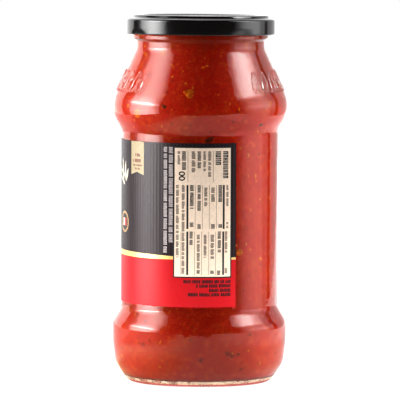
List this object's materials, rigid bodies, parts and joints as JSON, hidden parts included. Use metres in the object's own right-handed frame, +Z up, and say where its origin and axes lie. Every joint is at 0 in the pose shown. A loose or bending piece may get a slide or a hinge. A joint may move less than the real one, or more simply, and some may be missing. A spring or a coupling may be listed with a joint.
{
  "type": "tomato sauce jar",
  "caption": "Clear glass jar of tomato sauce with a waisted body, a black twist-off lug lid and a dark wrapped label.",
  "frame": {"origin": "middle of the base, on the surface that the jar stands on", "axes": "+Z up along the jar's axis, -Y the side that faced the camera, +X to the right of it"},
  "size_m": [0.086, 0.086, 0.1817],
  "materials": {
    "clear_glass": "clear moulded glass, glossy",
    "sauce_red": "thick wet sauce",
    "black_enamel": "glossy black enamel on tinplate",
    "printed_paper": "coated printed paper, satin"
  },
  "bodies": {
    "root": {"glass_jar": "clear_glass", "tomato_sauce": "sauce_red", "lid": "black_enamel", "label": "printed_paper"}
  },
  "joints": []
}
